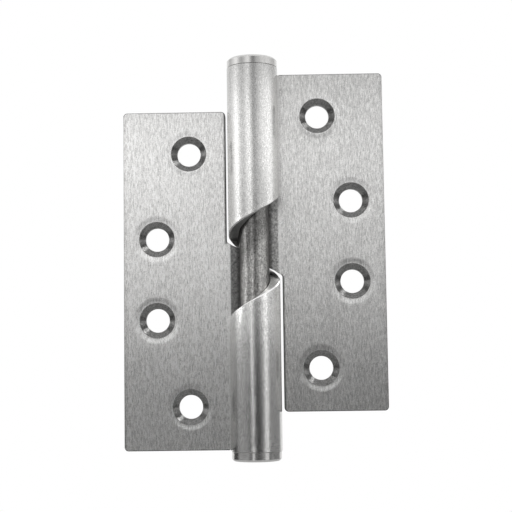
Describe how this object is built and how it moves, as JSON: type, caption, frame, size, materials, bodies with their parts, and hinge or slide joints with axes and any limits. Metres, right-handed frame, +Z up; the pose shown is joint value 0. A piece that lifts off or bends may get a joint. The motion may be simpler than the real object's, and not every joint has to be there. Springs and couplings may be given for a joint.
{
  "type": "gravity hinge",
  "caption": "Rising butt hinge in brushed stainless steel, opened flat: two leaves with countersunk screw holes, rolled barrels that meet on a helix, a loose pin and end caps.",
  "frame": {"origin": "on the pin's axis, halfway between the ends of the two caps, with the hinge opened flat", "axes": "+Z up the pin, towards the upper leaf's cap; +X from the pin to the upper leaf's outer edge; +Y from the pin through the leaves' flat backs, so the barrel and the countersinks face -Y"},
  "size_m": [0.0772, 0.015, 0.1178],
  "materials": {
    "leaf_steel": "fine brushed, satin",
    "pin_steel": "turned, smooth",
    "cap_steel": "turned, smooth"
  },
  "bodies": {
    "lower": {"lower_leaf": "leaf_steel", "bottom_cap": "cap_steel"},
    "pin": {"hinge_pin": "pin_steel"},
    "upper": {"upper_leaf": "leaf_steel", "top_cap": "cap_steel"}
  },
  "joints": [
    {"name": "swing", "type": "hinge", "parent": "lower", "child": "pin", "pos_m": [0, 0, 0], "axis": [0, 0, 1], "range_deg": [-180, 60]},
    {"name": "lift", "type": "slide", "parent": "pin", "child": "upper", "axis": [0, 0, 1], "range_m": [-0.01185, 0.00398]}
  ],
  "couplings": [
    {"joint": "lift", "follows": "swing", "m_per_rad": 0.0037561}
  ]
}
